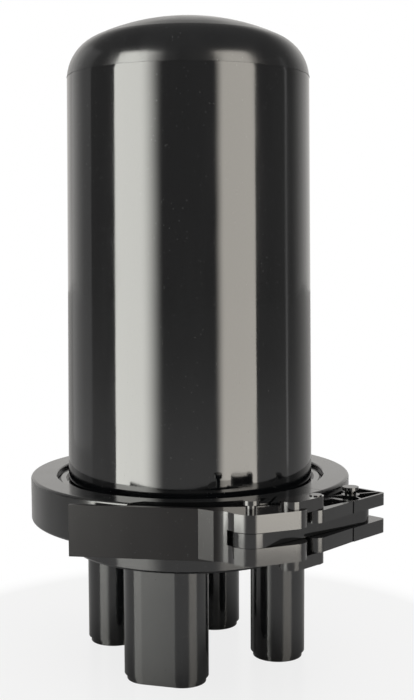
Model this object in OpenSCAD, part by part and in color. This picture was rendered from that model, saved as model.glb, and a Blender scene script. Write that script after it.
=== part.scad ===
// Dome splice closure: a moulded dome on a base with closed cable ports, held by a
// two-part clamp ring with an over-centre lever. The origin is on the dome's axis, in the
// plane of the port ends, with +Z up. Azimuths run from -Y (the front) towards +X.

/* [Closure] */
// Outer diameter of the clamp ring, mm
ring_d = 205; // [200:0.5:210]
// Height of the clamp ring, mm
ring_h = 28; // [27:0.5:29]
// Height of the clamp ring's top above the port ends, mm
ring_top = 120; // [115:1:130]
// Outer diameter of the dome at its foot, mm
dome_foot_d = 157.3; // [154:0.1:158]
// Outer diameter of the dome where its shoulder begins, mm
dome_top_d = 152.6; // [148:0.1:154]
// Height of the dome's straight wall above the ring's top, mm
dome_wall_h = 249; // [220:1:280]
// Thickness of the dome's wall, mm
dome_t = 3; // [2.5:0.1:3.5]
// Radius of the dome's shoulder, mm
shoulder_r = 28; // [24:1:32]
// Radius of the dome's crown, mm
crown_r = 141; // [130:1:160]

/* [Ports] */
// Outer diameter of a round port, mm
port_d = 35; // [32:0.5:36]
// Length of the oval port's section, mm
oval_l = 53; // [48:0.5:54]
// Width of the oval port's section, mm
oval_w = 32; // [28:0.5:33]
// Height of the base's underside above the port ends, mm
port_len = 73; // [68:1:78]
// Azimuth of the oval port, degrees
oval_az = -16; // [-20:1:-12]
// Wall thickness of the ports, mm
port_t = 2.6; // [2:0.1:3]

/* [Latch] */
// Azimuth of the split between the two halves of the ring, degrees
split_az = 51.8; // [51:0.1:53]
// Length of the lever's flat handle, mm
handle_l = 84; // [76:1:88]
// Height of the lever's flat handle, mm
handle_h = 30; // [28:0.5:31]
// Thickness of the lever's flat handle, mm
handle_t = 3; // [2.5:0.1:3.4]
// Thickness of the link, mm
link_t = 8.1; // [7.6:0.1:8.2]

/* [Inside] */
// Number of millimetres between two trays
tray_pitch = 11; // [10:0.5:12]
// Width of a splice tray, mm
tray_w = 104; // [96:1:108]
// Length of a splice tray, mm
tray_l = 186; // [170:1:195]
// Depth of a splice tray, mm
tray_d = 8; // [7:0.5:9]

/* [Hidden] */
$fn = 96;

// Colours
black = [0.13, 0.135, 0.14];
grey_black = [0.17, 0.165, 0.165];
rubber_black = [0.08, 0.08, 0.08];
steel = [0.72, 0.73, 0.74];
brass = [0.78, 0.63, 0.33];
tray_grey = [0.86, 0.87, 0.86];
clear = [0.8, 0.88, 0.92, 0.45];

// Ring section
ring_r = ring_d / 2;
ring_bottom = ring_top - ring_h;
lip_r = 86;             // inner radius of the ring's two lips
groove_r = 91.5;        // radius of the bottom of the ring's groove
recess_r = 95;          // outer radius of the ring behind the latch
lip_t = 4.2;            // thickness of a lip at its inner edge
wedge = 1.8;            // how much a lip thickens towards the groove's bottom
edge_r = 1.75;          // rounding of the ring's outer edges
seat_gap = 0.15;        // gap between the ring's lips and the flanges
joint_z = (ring_top + ring_bottom) / 2;    // plane where the dome meets the base

// Dome
foot_r = dome_foot_d / 2;
top_r = dome_top_d / 2;
shoulder_z = ring_top + dome_wall_h;
flange_r = groove_r - 0.4;
crown_z = shoulder_z - sqrt(pow(crown_r - shoulder_r, 2) - pow(top_r - shoulder_r, 2));
crown_turn = atan2(shoulder_z - crown_z, top_r - shoulder_r);
blend_r = crown_r * cos(crown_turn);       // radius where the shoulder meets the crown

// Base
base_r = 78;
base_t = 4;
cup_r = 74;
port_ring_r = 57;       // radius of the circle on which the round ports stand
oval_ring_r = 52.5;
port_turns = [98, 180, 262];               // round ports, degrees round from the oval one
cap_h = 3.5;            // height of the stepped-in end of a port
cap_step = 1.6;

// Latch points, in plan
pin1 = [35.3, -113];    // lever to link
pin2 = [97.5, -56.5];   // link to the rear half
pivot = [73, -94];      // lever to the front half
knee = [58.3, -105.4];  // where the lever turns back towards its pivot
hinge_az = split_az - 180;
hinge_r = 109.5;
hinge = [hinge_r * sin(hinge_az), -hinge_r * cos(hinge_az)];
handle_az = -8.7;
handle_r = 104.9;       // distance from the axis to the handle's outer face

// Latch levels
arm_top = ring_top - 1;
arm_low = ring_bottom - 1.7;
slot_top = ring_top - 11.2;
slot_low = ring_top - 19.8;
lug_top = ring_top - 3.9;
lug_low = ring_bottom - 0.1;
tongue_top = ring_top + 3.6;
tongue_low = ring_bottom - 7.4;
running = 0.05;         // radial clearance of a running pin
free = 0.3;             // gap between faces that slide past each other

knuckle_r = 10.8;
knee_r = 9;
link_r = 11;
slot_r = 13.5;          // clears the link's round end inside the lever
link_pin_r = 3;
anchor_pin_r = 3.5;
pivot_pin_r = 2.4;
barrel_r = 6.3;
eye_r = 4.6;
link_a = atan2(pin2[1] - pin1[1], pin2[0] - pin1[0]);
link_len = norm(pin2 - pin1);
mouth_flare = 18.5;     // degrees that the hook's mouth opens
mouth_gap = 0.25;
face_r = 122.6;         // distance from the axis to the lugs' common outer face
face_az = 46.4;

// Turns +X to the given azimuth
module at_az(az) {
    rotate([0, 0, az - 90]) children();
}

// Point in plan at a radius and azimuth
function polar(r, az) = [r * sin(az), -r * cos(az)];

// Points of an arc, from angle a to angle b
function arc(c, r, a, b, n = 8) = [for (i = [0:n]) c + r * [cos(a + (b - a) * i / n), sin(a + (b - a) * i / n)]];

// Lifts a plan shape between two heights
module slab(low, high) {
    translate([0, 0, low]) linear_extrude(high - low) children();
}

// Round-ended bar in plan
module bar2d(a, b, ra, rb) {
    hull() {
        translate(a) circle(ra, $fn = 64);
        translate(b) circle(rb, $fn = 64);
    }
}

// ---- Dome ----

// Half section of the dome's outside, moved in by t
module dome_half(t) {
    r_low = foot_r - t;
    r_top = top_r - t;
    polygon([[0, ring_top - 6], [r_low, ring_top - 6], [r_top, shoulder_z], [0, shoulder_z]]);
    intersection() {
        translate([top_r - shoulder_r, shoulder_z]) circle(shoulder_r - t);
        translate([blend_r, shoulder_z]) square([top_r, shoulder_r]);
    }
    intersection() {
        translate([0, crown_z]) circle(crown_r - t, $fn = 180);
        translate([0, shoulder_z]) square([blend_r, crown_r]);
    }
}

module dome_section() {
    difference() {
        dome_half(0);
        dome_half(dome_t);
    }
    difference() {
        polygon([[foot_r - dome_t, joint_z + 0.1], [flange_r, joint_z + 0.1],
                 [flange_r, ring_top - lip_t - wedge - seat_gap - 0.1],
                 [lip_r - 1, ring_top - lip_t - seat_gap],
                 [lip_r - 2.5, ring_top - lip_t - seat_gap],
                 [lip_r - 2.5, ring_top - 2.6],
                 [foot_r + 1.6, ring_top - 2.6],
                 [foot_r + 1.6, ring_top - 5],
                 [foot_r - dome_t, ring_top - 5]]);
        translate([seal_r - seal_w / 2, joint_z]) square([seal_w, seal_h]);
    }
}

module dome() {
    color(black) rotate_extrude($fn = 180) dome_section();
}

// ---- Seal ----

seal_r = 86.5;
seal_w = 5;
seal_h = 2.4;

module seal_ring() {
    color(rubber_black) rotate_extrude()
        translate([seal_r, joint_z]) {
            square([seal_w - 0.4, 2 * seal_h - 0.1], center = true);
        }
}

// ---- Base ----

module base_section() {
    difference() {
        polygon([[0, port_len], [base_r - 1.5, port_len], [base_r, port_len + 1.5],
                 [base_r, ring_bottom + lip_t + seat_gap],
                 [lip_r - 1, ring_bottom + lip_t + seat_gap],
                 [flange_r, ring_bottom + lip_t + wedge + seat_gap + 0.1],
                 [flange_r, joint_z], [cup_r, joint_z], [cup_r, port_len + base_t],
                 [0, port_len + base_t]]);
        translate([seal_r - seal_w / 2, joint_z - seal_h]) square([seal_w, seal_h + 1]);
    }
}

// Port outline in plan, moved in by t
module round_port2d(t) {
    circle(port_d / 2 - t);
}

module oval_port2d(t) {
    half = (oval_l - oval_w) / 2;
    r = oval_w / 2 - t;
    translate([0, -half]) circle(r);
    translate([0, half]) circle(r);
    square([2 * r, 2 * half], center = true);
}

// One port tube: children(0) is the outside outline, children(1) the step, children(2) the bore
module port_outside() {
    slab(cap_h, port_len + 1) children(0);
    slab(0, cap_h) children(1);
}

module each_round_port() {
    for (turn = port_turns)
        at_az(oval_az + turn) translate([port_ring_r, 0, 0]) children();
}

module oval_port_place() {
    at_az(oval_az) translate([oval_ring_r, 0, 0]) children();
}

module base() {
    color(black) difference() {
        union() {
            rotate_extrude() base_section();
            each_round_port() port_outside() {
                round_port2d(0);
                round_port2d(cap_step);
            }
            oval_port_place() port_outside() {
                oval_port2d(0);
                oval_port2d(cap_step);
            }
            for (x = boss_xs) translate([x, boss_y, port_len + base_t - 0.5])
                cylinder(r = boss_r, h = boss_h + 0.5);
        }
        each_round_port() slab(port_t, port_len + base_t + 1) round_port2d(port_t);
        oval_port_place() slab(port_t, port_len + base_t + 1) oval_port2d(port_t);
        for (x = boss_xs) translate([x, boss_y, port_len + base_t - 1])
            cylinder(r = screw_r, h = boss_h + 2);
    }
}

boss_xs = [-20, 20];
boss_y = 14;
boss_r = 5;
boss_h = 10;
screw_r = 2;

// ---- Clamp ring ----

module ring_section(outer) {
    difference() {
        polygon(concat(
            [[lip_r + 0.8, ring_bottom]],
            arc([outer - edge_r, ring_bottom + edge_r], edge_r, -90, 0),
            arc([outer - edge_r, ring_top - edge_r], edge_r, 0, 90),
            [[lip_r + 0.6, ring_top], [lip_r, ring_top - 0.6], [lip_r, ring_bottom + 0.8]]));
        polygon([[lip_r - 1, ring_bottom + lip_t], [lip_r, ring_bottom + lip_t],
                 [groove_r, ring_bottom + lip_t + wedge], [groove_r, ring_top - lip_t - wedge],
                 [lip_r, ring_top - lip_t], [lip_r - 1, ring_top - lip_t]]);
    }
}

// Part of the ring between two azimuths
module ring_arc(az1, az2, outer) {
    at_az(az1) rotate_extrude(angle = az2 - az1, $fn = 180) ring_section(outer);
}

// Wedge in plan that covers the azimuths between az1 and az2
module sector2d(r, az1, az2) {
    polygon(concat([[0, 0]], arc([0, 0], r, az1 - 90, az2 - 90, 12)));
}

recess_az = -15.5;
ramp_az = -20;
corner_az = 43;
slot_end_az = 80;

// Space cut from the ring behind the latch, in plan
module recess2d() {
    difference() {
        polygon(concat([polar(ring_r + 5, ramp_az), polar(ring_r + 0.2, ramp_az), polar(recess_r, recess_az)],
                       arc([0, 0], recess_r, recess_az - 90, corner_az - 90, 24),
                       [polar(ring_r + 20, corner_az), polar(ring_r + 45, 10)]));
        translate(polar(ring_r - 5, corner_az)) circle(5);
    }
}

// Slot for the link in the ring's wall
module slot2d(az1, az2) {
    difference() {
        sector2d(160, az1, az2);
        circle(recess_r, $fn = 180);
    }
}

// Keeps one side of the split plane through the axis at the given azimuth
module split_side(az, side) {
    at_az(az) translate([0, side > 0 ? split_gap : -400 - split_gap, -1]) cube([400, 400, 400]);
}

split_gap = 0.15;

// Outline of the lug on the front half
module front_lug2d() {
    difference() {
        union() {
            translate(pivot) circle(barrel_r);
            polygon([polar(recess_r - 1, 28), pivot + [-4.6, -4.3], pivot + barrel_r * [cos(face_az - 90), sin(face_az - 90)],
                     split_corner, polar(recess_r - 1, split_az)]);
        }
        circle(recess_r - 1, $fn = 180);
    }
}

split_corner = face_point(split_az);
// Point of the lugs' outer face at an azimuth
function face_point(az) = polar(face_r / cos(az - face_az), az);

tail_az = 65.4;
// Outline of the lug on the rear half
module rear_lug2d() {
    difference() {
        hull() {
            translate(polar(recess_r, split_az)) circle(0.5, $fn = 24);
            translate(face_point(split_az) - [0.3, 0.3]) circle(0.5, $fn = 24);
            translate(face_point(tail_az) - polar(3, tail_az)) circle(3, $fn = 48);
            translate([103, -41]) circle(3, $fn = 48);
            translate([94, -32]) circle(3, $fn = 48);
        }
        circle(recess_r - 1, $fn = 180);
    }
}

module lug_plates() {
    slab(slot_top, lug_top) children();
    slab(lug_low, slot_low) children();
}

pocket_floor = 2.4;
pocket_wall = 1.6;

module front_pocket() {
    slab(slot_top + pocket_floor, lug_top + 1) difference() {
        offset(delta = -pocket_wall) polygon([pivot + [4, 1], split_corner, polar(108, split_az), polar(106, 44)]);
        translate(pivot) circle(barrel_r + 1);
    }
}

module rear_pockets() {
    slab(slot_top + pocket_floor, lug_top + 1) difference() {
        offset(delta = -pocket_wall) intersection() {
            rear_lug2d();
            difference() {
                sector2d(160, split_az, 70);
                circle(ring_r, $fn = 180);
            }
        }
        translate(pin2) circle(anchor_pin_r + 2);
        for (a = [20, 110, 200, 290]) translate(pin2) rotate(a) translate([0, -0.7]) square([40, 1.4]);
    }
}

// Plate on top of the front lug's root, with its diagonal bars
module front_shoulder() {
    difference() {
        slab(lug_top - 3, ring_top) polygon([polar(recess_r - 1, 30), [39.5, -99.5], [56.5, -94.4], pivot + [-10, 1],
                                            pivot + [-8, 9], polar(recess_r - 1, 46)]);
        slab(ring_top - 3.5, ring_top + 1) polygon([[51, -78], [52.6, -78], [46.5, -100], [44.9, -100]]);
    }
}

knuckle_levels = [[ring_bottom + 1, ring_bottom + 7], [ring_bottom + 7.3, ring_bottom + 13.7],
                  [ring_bottom + 14, ring_bottom + 20]];
hinge_barrel_r = 5.5;
hinge_pin_r = 2.5;

// Hinge barrel with its arm to the ring on one side of the split
module hinge_knuckle(level, side) {
    slab(level[0], level[1]) difference() {
        hull() {
            translate(hinge) circle(hinge_barrel_r);
            translate(polar(ring_r - 3, hinge_az + side * 6)) circle(2.5);
            translate(polar(ring_r - 3, hinge_az + side * 2)) circle(1);
        }
        circle(ring_r - 3, $fn = 180);
    }
}

module hinge_bore(r) {
    translate([hinge[0], hinge[1], ring_bottom - 1]) cylinder(r = r, h = ring_h);
}

module clamp_front_half() {
    color(black) difference() {
        union() {
            difference() {
                ring_arc(hinge_az, split_az, ring_r);
                slab(ring_bottom - 1, ring_top + 1) recess2d();
                slab(slot_low, slot_top) slot2d(corner_az - 6, split_az + 1);
            }
            lug_plates() front_lug2d();
            front_shoulder();
            hinge_knuckle(knuckle_levels[1], 1);
        }
        front_pocket();
        translate([pivot[0], pivot[1], ring_bottom - 10]) cylinder(r = pivot_pin_r, h = ring_h + 20);
        hinge_bore(hinge_pin_r);
        at_az(split_az) translate([0, -split_gap, -1]) cube([200, 200, 200]);
        at_az(hinge_az) translate([60, -200 + split_gap, -1]) cube([ring_r - 60 + 0.5, 200, 200]);
    }
}

module clamp_rear_half() {
    color(black) difference() {
        union() {
            difference() {
                ring_arc(split_az, hinge_az + 360, ring_r);
                slab(slot_low, slot_top) slot2d(split_az - 1, slot_end_az);
            }
            lug_plates() rear_lug2d();
            hinge_knuckle(knuckle_levels[0], -1);
            hinge_knuckle(knuckle_levels[2], -1);
        }
        rear_pockets();
        translate([pin2[0], pin2[1], ring_bottom - 10]) cylinder(r = anchor_pin_r, h = ring_h + 20);
        hinge_bore(hinge_pin_r + running);
        at_az(split_az) translate([0, split_gap - 200, -1]) cube([200, 200, 200]);
        at_az(hinge_az) translate([60, -split_gap, -1]) cube([ring_r - 60 + 0.5, 200, 200]);
    }
}

module hinge_pin() {
    color(steel) translate([hinge[0], hinge[1], knuckle_levels[0][0]]) {
        cylinder(r = hinge_pin_r, h = knuckle_levels[2][1] - knuckle_levels[0][0]);
        translate([0, 0, knuckle_levels[2][1] - knuckle_levels[0][0]]) cylinder(r = hinge_pin_r + 1.5, h = 1.2);
    }
}

// ---- Lever ----

handle_end = polar(handle_r, handle_az) + 31 * [cos(handle_az), sin(handle_az)];

// Handle in plan
module handle2d() {
    at_az(handle_az) translate([handle_r - handle_t, -handle_l + 31]) square([handle_t, handle_l]);
}

// Neck between the handle and the knuckle, with its S-shaped outside
module neck2d() {
    difference() {
        hull() {
            translate(pin1) circle(knuckle_r);
            at_az(handle_az) translate([handle_r - handle_t, 22]) square([handle_t, 12]);
        }
        translate(pin1 + [-20.5, -11.5]) circle(12);
    }
}

module arm2d() {
    difference() {
        union() {
            neck2d();
            bar2d(pin1, knee, knuckle_r, knee_r);
        }
        translate(pivot) circle(barrel_r + 0.6);
    }
}

module tongue2d() {
    bar2d(pivot, knee, eye_r, knee_r - 2);
}

module lever() {
    color(grey_black) difference() {
        union() {
            slab(arm_low - 1.3, arm_top) handle2d();
            slab(arm_low, arm_top) neck2d();
            slab(slot_top, arm_top) arm2d();
            slab(arm_low, slot_low) arm2d();
            slab(lug_top + free, tongue_top) tongue2d();
            slab(tongue_low, lug_low - free) tongue2d();
        }
        slab(slot_low, slot_top) translate(pin1) circle(slot_r);
        translate([pin1[0], pin1[1], arm_low - 5]) cylinder(r = link_pin_r, h = ring_h + 10);
        translate([pivot[0], pivot[1], tongue_low - 1]) cylinder(r = pivot_pin_r + running, h = ring_h + 20);
    }
}

module link_pin() {
    color(black) translate([pin1[0], pin1[1], 0]) {
        translate([0, 0, arm_low]) cylinder(r = link_pin_r, h = arm_top + 4.2 - arm_low);
        translate([0, 0, arm_top + 4]) cylinder(r = 5.1, h = 2.5);
    }
}

module pivot_pin_upper() {
    color(black) translate([pivot[0], pivot[1], 0]) {
        translate([0, 0, slot_top]) cylinder(r = pivot_pin_r, h = tongue_top - slot_top);
        translate([0, 0, tongue_top]) cylinder(r = 3.6, h = 0.6);
    }
}

module pivot_pin_lower() {
    color(black) translate([pivot[0], pivot[1], 0]) {
        translate([0, 0, tongue_low]) cylinder(r = pivot_pin_r, h = slot_low - tongue_low);
        translate([0, 0, tongue_low - 0.6]) cylinder(r = 3.6, h = 0.6);
    }
}

// ---- Link ----

// The link lies along +X here, with pin1 at the origin. Its far end is a hook that opens to +Y
module link2d() {
    throat = anchor_pin_r + mouth_gap / 2;
    toe = throat * [cos(mouth_flare), -sin(mouth_flare)];
    difference() {
        union() {
            circle(link_r);
            translate([link_len, 0]) circle(link_r);
            translate([0, -link_r]) square([link_len, 2 * link_r]);
        }
        circle(link_pin_r + running);
        translate([link_len, 0]) {
            circle(anchor_pin_r + mouth_gap);
            polygon([[-throat, 0], toe, toe + 20 * [sin(mouth_flare), cos(mouth_flare)], [-throat - 2, 20]]);
        }
    }
}

module link() {
    color(black) translate([pin1[0], pin1[1], slot_low + (slot_top - slot_low - link_t) / 2])
        rotate([0, 0, link_a]) linear_extrude(link_t) link2d();
}

module anchor_pin() {
    color(black) translate([pin2[0], pin2[1], 0]) {
        translate([0, 0, lug_low]) cylinder(r = anchor_pin_r, h = lug_top + 3 - lug_low);
        translate([0, 0, lug_top + 2.8]) cylinder(r = 4.9, h = 1.9);
    }
}

// ---- Inside ----

floor_z = port_len + base_t;
bracket_y = 14;
bracket_t = 1.5;
bracket_w = 84;
bracket_top = floor_z + boss_h + 255;
foot_d = 16;
tray_z = floor_z + boss_h + 50;
tray_back = bracket_y - 8;      // back face of the last tray
tray_count = 4;
hinge_low = tray_z - 6;

module bracket() {
    color(steel) difference() {
        union() {
            translate([-bracket_w / 2, bracket_y + foot_d / 2 - bracket_t, floor_z + boss_h])
                cube([bracket_w, bracket_t, bracket_top - floor_z - boss_h]);
            translate([-bracket_w / 2, bracket_y - foot_d / 2, floor_z + boss_h])
                cube([bracket_w, foot_d, bracket_t]);
            for (x = [-bracket_w / 2, bracket_w / 2 - bracket_t])
                translate([x, bracket_y + foot_d / 2 - bracket_t, floor_z + boss_h])
                    cube([bracket_t, 9, bracket_top - floor_z - boss_h]);
        }
        for (x = boss_xs) translate([x, boss_y, floor_z]) cylinder(r = screw_r + 0.3, h = 30);
        for (z = [tray_z + 30:40:bracket_top - 30]) for (x = [-22, 22])
            translate([x, bracket_y, z]) rotate([-90, 0, 0]) slab(0, 30) {
                translate([-6, 0]) circle(3.5);
                translate([6, 0]) circle(3.5);
                square([12, 7], center = true);
            }
    }
}

module bracket_screws() {
    color(steel) for (x = boss_xs) translate([x, boss_y, floor_z + 1]) {
        cylinder(r = screw_r, h = boss_h + bracket_t - 0.5);
        translate([0, 0, boss_h + bracket_t - 1]) difference() {
            cylinder(r = 3.8, h = 2.4);
            translate([-0.5, -5, 1.2]) cube([1, 10, 2]);
        }
    }
}

tray_lug_x = 30;
tray_lug_w = 10;
tray_pin_r = 1.25;
tray_pin_drop = 5;      // depth of the hinge pins below the trays

function tray_y(i) = tray_back - i * tray_pitch;    // back face of tray i, from 1

module tray_outline(t) {
    r = 18;
    w = tray_w / 2 - r;
    hull() {
        for (x = [-w, w]) {
            translate([x, tray_l - r]) circle(r - t, $fn = 48);
            translate([x, r]) circle(r - t, $fn = 48);
        }
    }
}

// One splice tray, upright, open to the front
module tray(i) {
    wall = 1.6;
    color(tray_grey) translate([0, tray_y(i) + tray_d, tray_z]) rotate([90, 0, 0]) {
        difference() {
            slab(0, tray_d) tray_outline(0);
            slab(wall, tray_d + 1) tray_outline(wall);
        }
        slab(wall - 0.1, tray_d - 1) for (y = [tray_l * 0.28, tray_l * 0.72]) translate([0, y]) difference() {
            circle(19);
            circle(17.4);
        }
        slab(wall - 0.1, tray_d - 2) for (k = [-6:6]) translate([k * 3.2, tray_l / 2]) square([1.2, 26], center = true);
        for (x = [-tray_lug_x, tray_lug_x]) tray_lug(x);
    }
}

// Hinge lug under a tray, with the pin's bore along X
module tray_lug(x) {
    pin_y = -tray_pin_drop;
    pin_z = (tray_d - 2) / 2;
    difference() {
        union() {
            translate([x - tray_lug_w / 2, pin_y, 0]) cube([tray_lug_w, tray_pin_drop + 1.6, tray_d - 2]);
            translate([x - tray_lug_w / 2, pin_y, pin_z]) rotate([0, 90, 0]) cylinder(r = pin_z, h = tray_lug_w);
        }
        translate([x - tray_lug_w / 2 - 1, pin_y, pin_z]) rotate([0, 90, 0])
            cylinder(r = tray_pin_r + running, h = tray_lug_w + 2);
    }
}

module tray_carrier() {
    color(black) difference() {
        union() {
            for (x = [-41.5, -24, 19, 36.5])
                translate([x, tray_y(tray_count) - 2, floor_z + boss_h + bracket_t + 12])
                    cube([5, bracket_y + foot_d / 2 - bracket_t - tray_y(tray_count) + 2, tray_z - 1.5 - floor_z - boss_h - bracket_t - 12]);
            translate([-41.5, bracket_y + foot_d / 2 - bracket_t - 3, floor_z + boss_h + bracket_t + 12])
                cube([83, 3, 36]);
        }
        for (i = [1:tray_count])
            translate([-60, tray_y(i) + tray_d - (tray_d - 2) / 2, tray_z - 5]) rotate([0, 90, 0]) cylinder(r = 1.25, h = 120);
    }
}

module tray_hinge_pins() {
    color(steel) for (i = [1:tray_count])
        translate([-42.5, tray_y(i) + tray_d - (tray_d - 2) / 2, tray_z - 5]) rotate([0, 90, 0]) cylinder(r = 1.25, h = 85);
}

module tray_cover() {
    color(clear) translate([0, tray_y(tray_count), tray_z]) rotate([90, 0, 0]) slab(0, 1.5) tray_outline(0);
}

module tray_strap() {
    z = tray_z + tray_l * 0.62;
    front = tray_y(tray_count) - 1.5;
    back = bracket_y + foot_d / 2;
    color(rubber_black) translate([0, 0, z]) difference() {
        translate([-tray_w / 2 - 1.4, front - 1.4, 0]) cube([tray_w + 2.8, back - front + 2.8 + 9, 16]);
        translate([-tray_w / 2 - 0.1, front, -1]) cube([tray_w + 0.2, back - front + 9, 18]);
    }
}

module storage_basket() {
    w = 78;
    y0 = bracket_y + foot_d / 2;
    color(tray_grey) difference() {
        translate([-w / 2, y0, floor_z + boss_h + 90]) cube([w, 26, 68]);
        translate([-w / 2 + 1.6, y0 + 1.6, floor_z + boss_h + 91.6]) cube([w - 3.2, 22.8, 130]);
        for (z = [0:2]) translate([-w / 2 - 1, y0 + 6, floor_z + boss_h + 100 + z * 20]) cube([w + 2, 14, 10]);
    }
}

module strength_clamps() {
    color(steel) for (x = [-32, 32]) translate([x, bracket_y + foot_d / 2, floor_z + boss_h + 24]) {
        translate([-8, 0, 0]) cube([16, 3, 20]);
        translate([-8, 3.2, 0]) cube([16, 3, 20]);
    }
}

module clamp_screws() {
    color(steel) for (x = [-32, 32]) translate([x, bracket_y + foot_d / 2 + 6.2, floor_z + boss_h + 34])
        rotate([-90, 0, 0]) cylinder(r = 3.6, h = 3, $fn = 6);
}

module earth_stud() {
    color(brass) translate([0, bracket_y + foot_d / 2, floor_z + boss_h + 34]) rotate([-90, 0, 0]) {
        cylinder(r = 2.5, h = 16);
        cylinder(r = 4.6, h = 4, $fn = 6);
    }
}

dome();
base();
seal_ring();
clamp_front_half();
clamp_rear_half();
hinge_pin();
lever();
link();
link_pin();
anchor_pin();
pivot_pin_upper();
pivot_pin_lower();
bracket();
bracket_screws();
tray_carrier();
tray_hinge_pins();
tray(1);  // tray_1
tray(2);  // tray_2
tray(3);  // tray_3
tray(4);  // tray_4
tray_cover();
tray_strap();
storage_basket();
strength_clamps();
clamp_screws();
earth_stud();
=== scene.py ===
"""Looks, stage and camera for the dome splice closure, laid out as an add-on and run as a script.

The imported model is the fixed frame. Each operator finishes one piece or one group of like pieces.
"""

import math

import bmesh
import bpy
from bpy.props import FloatProperty, FloatVectorProperty, PointerProperty
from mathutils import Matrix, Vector, noise


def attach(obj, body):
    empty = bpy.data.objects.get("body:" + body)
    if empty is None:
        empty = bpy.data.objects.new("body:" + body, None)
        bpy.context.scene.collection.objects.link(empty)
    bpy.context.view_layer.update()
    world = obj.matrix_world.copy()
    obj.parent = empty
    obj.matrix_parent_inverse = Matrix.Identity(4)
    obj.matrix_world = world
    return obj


bl_info = {
    "name": "Dome Closure Looks",
    "version": (1, 0, 0),
    "blender": (4, 5, 0),
    "location": "View3D > Sidebar > Closure",
    "description": "Finishes, stage and camera for a dome splice closure",
    "category": "Object",
}

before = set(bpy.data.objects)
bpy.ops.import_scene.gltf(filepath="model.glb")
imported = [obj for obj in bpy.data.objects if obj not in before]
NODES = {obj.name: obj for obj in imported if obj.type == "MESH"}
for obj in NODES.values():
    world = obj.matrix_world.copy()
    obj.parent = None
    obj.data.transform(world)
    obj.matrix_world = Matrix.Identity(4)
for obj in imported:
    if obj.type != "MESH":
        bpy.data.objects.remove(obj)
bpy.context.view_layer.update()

WHITE = (1.0, 1.0, 1.0, 1.0)

# Radius of the dome's wall where the moulding line runs round it, in metres
SHOULDER_RADIUS = 0.0763
# The lever is satin up to the low one of these X values and glossy past the high one, in metres
NECK_START = 0.0195
NECK_END = 0.0205
ARM_POLISH = 0.16
# How much rougher the dome is above its moulding line
CROWN_MATT = 0.11
# The floor is nearly white to the eye at the object, and all white past the far radius, in metres
FLOOR_WHITE_AT_OBJECT = 0.82
FLOOR_NEAR = 0.10
FLOOR_FAR = 0.22
# Light of the room in front, and how much more of it comes from the backdrop
ROOM_FRONT = 0.13
ROOM_BACK = 0.72


# ---- Properties ----


def colour_prop(name, description, default):
    """A colour property with the given default."""
    return FloatVectorProperty(
        name=name, description=description, subtype="COLOR", size=3, min=0.0, max=1.0, default=default
    )


def share_prop(name, description, default):
    """A property between 0 and 1."""
    return FloatProperty(
        name=name, description=description, subtype="FACTOR", min=0.0, max=1.0, default=default
    )


class ClosureFinish(bpy.types.PropertyGroup):
    """Colours and gloss of the closure's pieces."""

    black: colour_prop("Moulded black", "Colour of the dome and the base", (0.0100, 0.0112, 0.0130))
    clamp: colour_prop("Clamp black", "Colour of the clamp ring and the link", (0.0115, 0.0122, 0.0130))
    handle: colour_prop("Handle black", "Colour of the lever", (0.0110, 0.0092, 0.0096))
    dust: colour_prop("Dust", "Colour of the dust and the rubbed marks", (0.30, 0.31, 0.31))
    rubber: colour_prop("Rubber", "Colour of the seal between the flanges", (0.018, 0.018, 0.019))
    steel: colour_prop("Steel", "Colour of the bracket, the pins and the screws", (0.58, 0.59, 0.60))
    brass: colour_prop("Brass", "Colour of the earth stud", (0.72, 0.52, 0.24))
    tray: colour_prop("Tray", "Colour of the splice trays and the basket", (0.62, 0.63, 0.61))
    strap: colour_prop("Strap", "Colour of the strap round the trays", (0.020, 0.020, 0.022))
    gloss_ior: FloatProperty(
        name="Gloss IOR",
        description="Refractive index of the polished mouldings' skin",
        min=1.3,
        max=2.2,
        default=1.95,
    )
    polish: share_prop("Polish", "Roughness of the polished mouldings", 0.075)
    satin: share_prop("Satin", "Roughness of the lever's handle", 0.34)


class ClosureFlash(bpy.types.PropertyGroup):
    """The moulding line round the dome's shoulder."""

    height: FloatProperty(
        name="Height",
        description="Height of the moulding line above the port ends",
        subtype="DISTANCE",
        unit="LENGTH",
        default=0.3707,
    )
    width: FloatProperty(
        name="Width",
        description="Height of the line's raised bead",
        subtype="DISTANCE",
        unit="LENGTH",
        default=0.00045,
    )
    proud: FloatProperty(
        name="Proud",
        description="How far the bead stands out of the wall",
        subtype="DISTANCE",
        unit="LENGTH",
        default=0.00016,
    )


class ClosureStage(bpy.types.PropertyGroup):
    """Camera and lamps."""

    lens: FloatProperty(
        name="Lens",
        description="Focal length of the camera, in millimetres",
        min=20.0,
        max=200.0,
        default=60.0,
    )
    camera_place: FloatVectorProperty(
        name="Camera place",
        description="Where the camera stands",
        subtype="TRANSLATION",
        unit="LENGTH",
        size=3,
        default=(0.01148, -0.750, 0.2664),
    )
    camera_tilt: FloatProperty(
        name="Camera tilt",
        description="How far the camera looks down",
        subtype="ANGLE",
        default=math.radians(5.16),
    )
    camera_roll: FloatProperty(
        name="Camera roll",
        description="How far the camera is turned about its own axis",
        subtype="ANGLE",
        default=math.radians(0.22),
    )
    panel_distance: FloatProperty(
        name="Panel distance",
        description="Distance of the two tall panels from the dome's axis",
        subtype="DISTANCE",
        unit="LENGTH",
        default=0.5,
    )
    panel_height: FloatProperty(
        name="Panel height",
        description="Height of the two tall panels, which stand on the floor",
        subtype="DISTANCE",
        unit="LENGTH",
        default=0.72,
    )
    left_glow: FloatProperty(
        name="Left glow",
        description="Radiance of the tall panel on the left",
        min=0.0,
        default=5.208,
    )
    right_glow: FloatProperty(
        name="Right glow",
        description="Radiance of the tall panel on the right",
        min=0.0,
        default=3.1,
    )
    top_glow: FloatProperty(
        name="Top glow",
        description="Radiance of the broad panel overhead",
        min=0.0,
        default=1.2,
    )


# ---- Shader helpers ----


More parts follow.
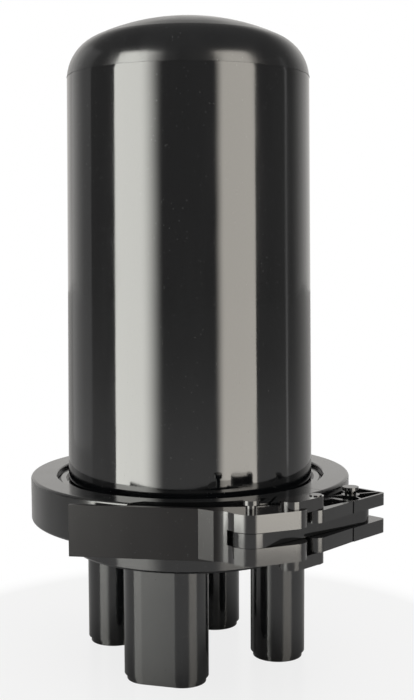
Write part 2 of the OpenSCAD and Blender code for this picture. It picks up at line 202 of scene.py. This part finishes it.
def new_material(name, colour, roughness, ior=1.5, metallic=0.0):
    """A material with a Principled BSDF, and that shader."""
    material = bpy.data.materials.new(name)
    material.use_nodes = True
    shader = material.node_tree.nodes["Principled BSDF"]
    shader.inputs["Base Color"].default_value = (*colour, 1.0)
    shader.inputs["Roughness"].default_value = roughness
    shader.inputs["IOR"].default_value = ior
    shader.inputs["Metallic"].default_value = metallic
    return material, shader


def new_group(name, inputs, outputs):
    """A shader node group with the given sockets, its input node and its output node."""
    group = bpy.data.node_groups.new(name, "ShaderNodeTree")
    for label, kind, default in inputs:
        socket = group.interface.new_socket(name=label, in_out="INPUT", socket_type=kind)
        socket.default_value = default
    for label, kind in outputs:
        group.interface.new_socket(name=label, in_out="OUTPUT", socket_type=kind)
    return group, group.nodes.new("NodeGroupInput"), group.nodes.new("NodeGroupOutput")


def add_node(tree, kind, links=(), **values):
    """Adds a node, sets its properties and joins sockets to its inputs."""
    node = tree.nodes.new(kind)
    for label, value in values.items():
        setattr(node, label, value)
    for socket, source in links:
        if hasattr(source, "is_linked"):
            tree.links.new(source, node.inputs[socket])
        else:
            node.inputs[socket].default_value = source
    return node


def math_node(tree, operation, a, b=0.0):
    """The result of a Math node."""
    return add_node(tree, "ShaderNodeMath", [(0, a), (1, b)], operation=operation).outputs[0]


def smooth_step(tree, value, low, high):
    """Goes from 0 to 1 as the value goes from low to high."""
    links = [("Value", value), ("From Min", low), ("From Max", high)]
    node = add_node(tree, "ShaderNodeMapRange", links, interpolation_type="SMOOTHSTEP")
    return node.outputs["Result"]


def colour_mix(tree, share, a, b):
    """The mix of two colours."""
    node = add_node(tree, "ShaderNodeMix", data_type="RGBA")
    for socket, source in ((0, share), (6, a), (7, b)):
        if hasattr(source, "is_linked"):
            tree.links.new(source, node.inputs[socket])
        else:
            node.inputs[socket].default_value = source
    return node.outputs[2]


def speck_group():
    """Fine dust specks: a mask that is 1 on a speck."""
    group, given, result = new_group(
        "dust_specks",
        [("Scale", "NodeSocketFloat", 900.0), ("Amount", "NodeSocketFloat", 0.3)],
        [("Mask", "NodeSocketFloat")],
    )
    place = add_node(group, "ShaderNodeTexCoord").outputs["Object"]
    cells = add_node(
        group, "ShaderNodeTexVoronoi", [("Vector", place), ("Scale", given.outputs["Scale"])]
    )
    near = smooth_step(group, cells.outputs["Distance"], 0.22, 0.08)
    lot = add_node(group, "ShaderNodeSeparateColor", [("Color", cells.outputs["Color"])])
    limit = math_node(group, "SUBTRACT", 1.0, math_node(group, "MULTIPLY", given.outputs["Amount"], 0.1))
    chosen = math_node(group, "GREATER_THAN", lot.outputs["Red"], limit)
    group.links.new(math_node(group, "MULTIPLY", near, chosen), result.inputs["Mask"])
    return group


def skin_group(specks):
    """A moulded skin: slow ripples, faint flow streaks and dust."""
    group, given, result = new_group(
        "moulded_skin",
        [
            ("Color", "NodeSocketColor", (0.01, 0.01, 0.01, 1.0)),
            ("Dust Color", "NodeSocketColor", (0.3, 0.3, 0.3, 1.0)),
            ("Roughness", "NodeSocketFloat", 0.1),
            ("Streaks", "NodeSocketFloat", 0.03),
            ("Dust", "NodeSocketFloat", 0.3),
            ("Grain", "NodeSocketFloat", 0.0),
        ],
        [("Color", "NodeSocketColor"), ("Roughness", "NodeSocketFloat"), ("Height", "NodeSocketFloat")],
    )
    place = add_node(group, "ShaderNodeTexCoord").outputs["Object"]
    drawn = add_node(
        group, "ShaderNodeMapping", [("Vector", place), ("Scale", (60.0, 60.0, 9.0))], vector_type="POINT"
    )
    flow = add_node(
        group, "ShaderNodeTexNoise", [("Vector", drawn.outputs[0]), ("Scale", 1.0), ("Detail", 3.0)]
    )
    ripple = add_node(group, "ShaderNodeTexNoise", [("Vector", place), ("Scale", 28.0), ("Detail", 1.0)])
    grain = add_node(group, "ShaderNodeTexNoise", [("Vector", place), ("Scale", 2600.0), ("Detail", 2.0)])
    mask = add_node(group, "ShaderNodeGroup", node_tree=specks)
    group.links.new(given.outputs["Dust"], mask.inputs["Amount"])
    dusty = math_node(group, "MULTIPLY", mask.outputs["Mask"], 0.55)

    tint = math_node(group, "MULTIPLY", smooth_step(group, flow.outputs["Fac"], 0.35, 0.75), 0.012)
    shade = colour_mix(group, tint, given.outputs["Color"], given.outputs["Dust Color"])
    group.links.new(
        colour_mix(group, dusty, shade, given.outputs["Dust Color"]), result.inputs["Color"]
    )
    streak = math_node(
        group, "MULTIPLY", math_node(group, "SUBTRACT", flow.outputs["Fac"], 0.45), given.outputs["Streaks"]
    )
    rough = math_node(group, "ADD", given.outputs["Roughness"], streak)
    group.links.new(
        math_node(group, "ADD", rough, math_node(group, "MULTIPLY", mask.outputs["Mask"], 0.4)),
        result.inputs["Roughness"],
    )
    fine = math_node(group, "MULTIPLY", grain.outputs["Fac"], given.outputs["Grain"])
    relief = math_node(group, "ADD", ripple.outputs["Fac"], fine)
    group.links.new(relief, result.inputs["Height"])
    return group


def moulded(context, name, colour, roughness, ior, **amounts):
    """A moulded plastic material with the shared skin; returns it, its shader and its skin node."""
    finish = context.scene.closure_finish
    material, shader = new_material(name, colour, roughness, ior)
    tree = material.node_tree
    skin = add_node(tree, "ShaderNodeGroup", node_tree=bpy.data.node_groups["moulded_skin"])
    skin.inputs["Color"].default_value = (*colour, 1.0)
    skin.inputs["Dust Color"].default_value = (*finish.dust, 1.0)
    skin.inputs["Roughness"].default_value = roughness
    for label, value in amounts.items():
        skin.inputs[label].default_value = value
    bump = add_node(tree, "ShaderNodeBump", [("Height", skin.outputs["Height"]), ("Distance", 0.0001)])
    tree.links.new(skin.outputs["Color"], shader.inputs["Base Color"])
    tree.links.new(skin.outputs["Roughness"], shader.inputs["Roughness"])
    tree.links.new(bump.outputs["Normal"], shader.inputs["Normal"])
    return material, shader, skin


def metal(name, colour, roughness, stretch):
    """A metal whose roughness follows a drawn grain."""
    material, shader = new_material(name, colour, roughness, metallic=1.0)
    tree = material.node_tree
    place = add_node(tree, "ShaderNodeTexCoord").outputs["Object"]
    drawn = add_node(tree, "ShaderNodeMapping", [("Vector", place), ("Scale", stretch)])
    grain = add_node(
        tree, "ShaderNodeTexNoise", [("Vector", drawn.outputs[0]), ("Scale", 1.0), ("Detail", 4.0)]
    )
    rough = math_node(
        tree, "ADD", roughness - 0.1, math_node(tree, "MULTIPLY", grain.outputs["Fac"], 0.2)
    )
    tree.links.new(rough, shader.inputs["Roughness"])
    bump = add_node(tree, "ShaderNodeBump", [("Height", grain.outputs["Fac"]), ("Distance", 0.00003)])
    tree.links.new(bump.outputs["Normal"], shader.inputs["Normal"])
    return material


def dress(node, material):
    """Gives a CAD node one material."""
    mesh = NODES[node].data
    mesh.materials.clear()
    mesh.materials.append(material)


# ---- Stage helpers ----


def around(radius, azimuth, height):
    """A point at a distance and azimuth from the dome's axis; azimuth 0 is the front."""
    turn = math.radians(azimuth)
    return Vector((radius * math.sin(turn), -radius * math.cos(turn), height))


def put_lamp(name, place, target, size, radiance, colour=(1.0, 1.0, 1.0)):
    """A flat lamp of the given radiance, facing a point."""
    data = bpy.data.lights.new(name, "AREA")
    data.shape = "RECTANGLE"
    data.size, data.size_y = size
    data.energy = radiance * size[0] * size[1] * math.pi
    data.color = colour
    lamp = bpy.data.objects.new(name, data)
    bpy.context.scene.collection.objects.link(lamp)
    lamp.location = place
    lamp.rotation_euler = (Vector(target) - Vector(place)).to_track_quat("-Z", "Y").to_euler()
    lamp.visible_camera = False
    return lamp


def background_ray(tree):
    """1 for a ray that sees the background straight or through glass, and 0 for any other."""
    path = add_node(tree, "ShaderNodeLightPath")
    return math_node(
        tree, "MAXIMUM", path.outputs["Is Camera Ray"], path.outputs["Is Transmission Ray"]
    )


def fade_lamp(lamp, clear, full):
    """Fades a lamp across its width: no light at the share clear, all of it at the share full."""
    lamp.data.use_nodes = True
    tree = lamp.data.node_tree
    emission = tree.nodes["Emission"]
    across = add_node(tree, "ShaderNodeSeparateXYZ")
    shape = add_node(tree, "ShaderNodeNewGeometry")
    tree.links.new(shape.outputs["Parametric"], across.inputs["Vector"])
    tree.links.new(smooth_step(tree, across.outputs["X"], clear, full), emission.inputs["Strength"])


# ---- Operators ----


class CLOSURE_OT_stage(bpy.types.Operator):
    """Makes the camera, the floor, the room's light and the lamps"""

    bl_idname = "closure.stage"
    bl_label = "Stage"

    def execute(self, context):
        scene = context.scene
        stage = scene.closure_stage
        scene.view_settings.view_transform = "Standard"
        self.make_camera(scene, stage)
        self.make_floor(scene)
        self.make_room(scene)

        half = stage.panel_height / 2
        for name, azimuth, width, glow, colour, fade in (
            ("panel_left", -43.0, 0.424, stage.left_glow, (1.0, 1.0, 0.94), (0.98, 0.54)),
            ("panel_right", 40.6, 0.352, stage.right_glow, (1.0, 0.95, 0.86), (0.02, 0.26)),
        ):
            place = around(stage.panel_distance, azimuth, half)
            size = (width, stage.panel_height)
            lamp = put_lamp(name, place, (0.0, 0.0, half), size, glow, colour)
            fade_lamp(lamp, *fade)
            lamp.visible_diffuse = False
        edge = put_lamp("edge_strip", around(0.8, 99.0, 0.35), (0.0, 0.0, 0.35), (0.04, 0.8), 0.35)
        edge.visible_diffuse = False
        side = put_lamp("side_glow", around(0.9, -117.0, 0.5), (0.0, 0.0, 0.5), (0.62, 1.0), 0.19)
        side.visible_diffuse = False
        top = put_lamp("panel_top", (0.1, -0.35, 1.5), (0.0, 0.0, 0.1), (1.6, 1.6), stage.top_glow)
        top.visible_glossy = False
        return {"FINISHED"}

    def make_camera(self, scene, stage):
        data = bpy.data.cameras.new("camera")
        data.lens = stage.lens
        data.clip_start = 0.01
        camera = bpy.data.objects.new("camera", data)
        scene.collection.objects.link(camera)
        camera.location = stage.camera_place
        camera.rotation_euler = (math.radians(90) - stage.camera_tilt, stage.camera_roll, 0.0)
        scene.camera = camera

    def make_floor(self, scene):
        mesh = bpy.data.meshes.new("floor")
        form = bmesh.new()
        bmesh.ops.create_grid(form, x_segments=1, y_segments=1, size=6.0)
        form.to_mesh(mesh)
        form.free()
        floor = bpy.data.objects.new("floor", mesh)
        scene.collection.objects.link(floor)
        material, shader = new_material("pale_floor", (0.9, 0.9, 0.9), 0.22)
        tree = material.node_tree
        place = add_node(tree, "ShaderNodeTexCoord").outputs["Object"]
        far = add_node(tree, "ShaderNodeVectorMath", [(0, place)], operation="LENGTH").outputs["Value"]
        open_floor = smooth_step(tree, far, FLOOR_NEAR, FLOOR_FAR)
        near = math_node(tree, "MAXIMUM", open_floor, FLOOR_WHITE_AT_OBJECT)
        share = math_node(tree, "MULTIPLY", near, background_ray(tree))
        glow = add_node(tree, "ShaderNodeEmission", [("Color", WHITE), ("Strength", 1.0)])
        blend = add_node(
            tree, "ShaderNodeMixShader", [(0, share), (1, shader.outputs[0]), (2, glow.outputs[0])]
        )
        tree.links.new(blend.outputs[0], tree.nodes["Material Output"].inputs["Surface"])
        mesh.materials.append(material)

    def make_room(self, scene):
        """White to the eye; otherwise dim in front and bright behind, where the backdrop hangs."""
        world = bpy.data.worlds.new("studio")
        world.use_nodes = True
        scene.world = world
        tree = world.node_tree
        place = add_node(tree, "ShaderNodeTexCoord").outputs["Generated"]
        split = add_node(tree, "ShaderNodeSeparateXYZ", [("Vector", place)])
        behind = smooth_step(tree, split.outputs["Y"], 0.35, 0.92)
        low = smooth_step(tree, split.outputs["Z"], 0.75, 0.35)
        backdrop_share = math_node(tree, "MULTIPLY", behind, low)
        extra = math_node(tree, "MULTIPLY", backdrop_share, ROOM_BACK)
        light = math_node(tree, "ADD", ROOM_FRONT, extra)
        room = tree.nodes["Background"]
        tree.links.new(light, room.inputs["Strength"])
        room.inputs["Color"].default_value = (1.0, 0.98, 0.95, 1.0)
        backdrop = add_node(tree, "ShaderNodeBackground", [("Color", WHITE), ("Strength", 1.0)])
        seen = background_ray(tree)
        blend = add_node(
            tree, "ShaderNodeMixShader", [(0, seen), (1, room.outputs[0]), (2, backdrop.outputs[0])]
        )
        tree.links.new(blend.outputs[0], tree.nodes["World Output"].inputs["Surface"])


class CLOSURE_OT_skins(bpy.types.Operator):
    """Builds the shared shader groups"""

    bl_idname = "closure.skins"
    bl_label = "Shared skins"

    def execute(self, context):
        skin_group(speck_group())
        return {"FINISHED"}


class CLOSURE_OT_shell(bpy.types.Operator):
    """Finishes the dome and the base"""

    bl_idname = "closure.shell"
    bl_label = "Dome and base"

    def execute(self, context):
        finish = context.scene.closure_finish
        flash = context.scene.closure_flash
        material, shader, skin = moulded(
            context, "dome_black", finish.black, finish.polish, finish.gloss_ior, Streaks=0.22, Dust=0.5
        )
        tree = material.node_tree
        place = add_node(tree, "ShaderNodeTexCoord").outputs["Object"]
        height = add_node(tree, "ShaderNodeSeparateXYZ", [("Vector", place)]).outputs["Z"]
        crown = smooth_step(tree, height, flash.height - 0.0002, flash.height + 0.0002)
        rough = math_node(
            tree, "ADD", skin.outputs["Roughness"], math_node(tree, "MULTIPLY", crown, CROWN_MATT)
        )
        tree.links.new(rough, shader.inputs["Roughness"])
        dress("dome", material)
        material, _, _ = moulded(
            context,
            "base_black",
            finish.black,
            finish.polish + 0.03,
            finish.gloss_ior,
            Streaks=0.08,
            Dust=0.5,
        )
        dress("base", material)
        return {"FINISHED"}


class CLOSURE_OT_flash_line(bpy.types.Operator):
    """Makes the raised moulding line round the dome's shoulder"""

    bl_idname = "closure.flash_line"
    bl_label = "Moulding line"

    def execute(self, context):
        flash = context.scene.closure_flash
        form = bmesh.new()
        rings = []
        steps = 720
        for step in range(steps):
            turn = 2 * math.pi * step / steps
            wave = noise.noise(Vector((9 * math.cos(turn), 9 * math.sin(turn), 0.0)))
            fine = noise.noise(Vector((60 * math.cos(turn), 60 * math.sin(turn), 5.0)))
            middle = flash.height + 0.0003 * wave + 0.0001 * fine
            proud = flash.proud * (0.8 + 0.9 * abs(fine))
            half = flash.width / 2 * (0.8 + 0.5 * wave)
            ring = []
            for out, rise in ((-0.0004, -half), (proud, -half * 0.4), (proud, half * 0.4), (-0.0004, half)):
                radius = SHOULDER_RADIUS + out
                ring.append(
                    form.verts.new((radius * math.sin(turn), -radius * math.cos(turn), middle + rise))
                )
            rings.append(ring)
        for step in range(steps):
            this, that = rings[step], rings[(step + 1) % steps]
            for k in range(4):
                form.faces.new((this[k], that[k], that[(k + 1) % 4], this[(k + 1) % 4]))
        bmesh.ops.recalc_face_normals(form, faces=form.faces)
        mesh = bpy.data.meshes.new("moulding_line")
        form.to_mesh(mesh)
        form.free()
        piece = bpy.data.objects.new("moulding_line", mesh)
        context.scene.collection.objects.link(piece)
        finish = context.scene.closure_finish
        material, _, _ = moulded(
            context, "line_black", finish.black, 0.22, finish.gloss_ior, Streaks=0.1, Dust=0.2
        )
        mesh.materials.append(material)
        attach(piece, "root")
        return {"FINISHED"}


class CLOSURE_OT_clamp(bpy.types.Operator):
    """Finishes the two halves of the clamp ring, its link and its pins"""

    bl_idname = "closure.clamp"
    bl_label = "Clamp ring"

    def execute(self, context):
        finish = context.scene.closure_finish
        ring, _, _ = moulded(
            context, "clamp_black", finish.clamp, 0.17, finish.gloss_ior, Streaks=0.08, Dust=0.5, Grain=0.02
        )
        for node in ("clamp_front_half", "clamp_rear_half"):
            dress(node, ring)
        link, _, _ = moulded(
            context, "link_black", finish.clamp, 0.12, finish.gloss_ior, Streaks=0.1, Dust=0.8
        )
        dress("link", link)
        pins, _, _ = moulded(
            context, "pin_black", finish.clamp, 0.14, finish.gloss_ior, Streaks=0.08, Dust=0.6
        )
        for node in ("link_pin", "anchor_pin", "pivot_pin_upper", "pivot_pin_lower"):
            dress(node, pins)
        dress("hinge_pin", metal("pin_steel", finish.steel, 0.3, (400.0, 400.0, 40.0)))
        return {"FINISHED"}


class CLOSURE_OT_lever(bpy.types.Operator):
    """Finishes the lever, satin on its handle and glossy on its arm"""

    bl_idname = "closure.lever"
    bl_label = "Lever"

    def execute(self, context):
        finish = context.scene.closure_finish
        material, shader, skin = moulded(
            context,
            "lever_black",
            finish.handle,
            ARM_POLISH,
            1.5,
            Streaks=0.06,
            Dust=0.5,
            Grain=0.15,
        )
        tree = material.node_tree
        place = add_node(tree, "ShaderNodeTexCoord").outputs["Object"]
        across = add_node(tree, "ShaderNodeSeparateXYZ", [("Vector", place)]).outputs["X"]
        flat = smooth_step(tree, across, NECK_END, NECK_START)
        rough = math_node(
            tree,
            "ADD",
            skin.outputs["Roughness"],
            math_node(tree, "MULTIPLY", flat, finish.satin - ARM_POLISH),
        )
        tree.links.new(rough, shader.inputs["Roughness"])
        tree.links.new(math_node(tree, "SUBTRACT", 1.0, flat), shader.inputs["Coat Weight"])
        shader.inputs["Coat Roughness"].default_value = 0.1
        shader.inputs["Coat IOR"].default_value = 1.7
        dress("lever", material)
        return {"FINISHED"}


class CLOSURE_OT_inside(bpy.types.Operator):
    """Finishes the seal, the bracket, the trays and what goes with them"""

    bl_idname = "closure.inside"
    bl_label = "Inside"

    def execute(self, context):
        finish = context.scene.closure_finish
        rubber, _, _ = moulded(context, "seal_rubber", finish.rubber, 0.7, 1.5, Dust=0.4, Grain=0.4)
        dress("seal_ring", rubber)
        sheet = metal("bracket_steel", finish.steel, 0.32, (900.0, 900.0, 30.0))
        turned = metal("screw_steel", finish.steel, 0.28, (500.0, 500.0, 500.0))
        dress("bracket", sheet)
        for node in ("bracket_screws", "tray_hinge_pins", "strength_clamps", "clamp_screws"):
            dress(node, turned)
        dress("earth_stud", metal("stud_brass", finish.brass, 0.28, (500.0, 60.0, 500.0)))
        carrier, _, _ = moulded(context, "carrier_black", finish.clamp, 0.4, 1.5, Dust=0.3, Grain=0.2)
        dress("tray_carrier", carrier)
        tray, _, _ = moulded(context, "tray_grey", finish.tray, 0.42, 1.5, Dust=0.1, Grain=0.2)
        for node in ("tray_1", "tray_2", "tray_3", "tray_4", "storage_basket"):
            dress(node, tray)
        dress("tray_cover", self.clear_sheet())
        dress("tray_strap", self.woven(finish.strap))
        return {"FINISHED"}

    def clear_sheet(self):
        material, shader = new_material("cover_clear", (0.92, 0.96, 0.98), 0.06, 1.49)
        shader.inputs["Transmission Weight"].default_value = 1.0
        tree = material.node_tree
        place = add_node(tree, "ShaderNodeTexCoord").outputs["Object"]
        wave = add_node(tree, "ShaderNodeTexNoise", [("Vector", place), ("Scale", 22.0), ("Detail", 1.0)])
        bump = add_node(tree, "ShaderNodeBump", [("Height", wave.outputs["Fac"]), ("Distance", 0.0002)])
        tree.links.new(bump.outputs["Normal"], shader.inputs["Normal"])
        return material

    def woven(self, colour):
        material, shader = new_material("strap_weave", colour, 0.8)
        tree = material.node_tree
        place = add_node(tree, "ShaderNodeTexCoord").outputs["Object"]
        warp = add_node(
            tree, "ShaderNodeTexWave", [("Vector", place), ("Scale", 220.0)], bands_direction="DIAGONAL"
        )
        bump = add_node(tree, "ShaderNodeBump", [("Height", warp.outputs["Fac"]), ("Distance", 0.0003)])
        tree.links.new(bump.outputs["Normal"], shader.inputs["Normal"])
        return material


class CLOSURE_PT_panel(bpy.types.Panel):
    """Lists the steps"""

    bl_label = "Dome closure"
    bl_idname = "CLOSURE_PT_panel"
    bl_space_type = "VIEW_3D"
    bl_region_type = "UI"
    bl_category = "Closure"

    def draw(self, context):
        for step in STEPS:
            self.layout.operator(step.bl_idname)


STEPS = (
    CLOSURE_OT_stage,
    CLOSURE_OT_skins,
    CLOSURE_OT_shell,
    CLOSURE_OT_flash_line,
    CLOSURE_OT_clamp,
    CLOSURE_OT_lever,
    CLOSURE_OT_inside,
)
CLASSES = (ClosureFinish, ClosureFlash, ClosureStage, *STEPS, CLOSURE_PT_panel)


def register():
    for cls in CLASSES:
        bpy.utils.register_class(cls)
    bpy.types.Scene.closure_finish = PointerProperty(type=ClosureFinish)
    bpy.types.Scene.closure_flash = PointerProperty(type=ClosureFlash)
    bpy.types.Scene.closure_stage = PointerProperty(type=ClosureStage)


def unregister():
    del bpy.types.Scene.closure_stage
    del bpy.types.Scene.closure_flash
    del bpy.types.Scene.closure_finish
    for cls in reversed(CLASSES):
        bpy.utils.unregister_class(cls)


def main():
    register()
    bpy.ops.closure.stage()
    bpy.ops.closure.skins()
    bpy.ops.closure.shell()
    bpy.ops.closure.flash_line()
    bpy.ops.closure.clamp()
    bpy.ops.closure.lever()
    bpy.ops.closure.inside()


if __name__ == "__main__":
    main()
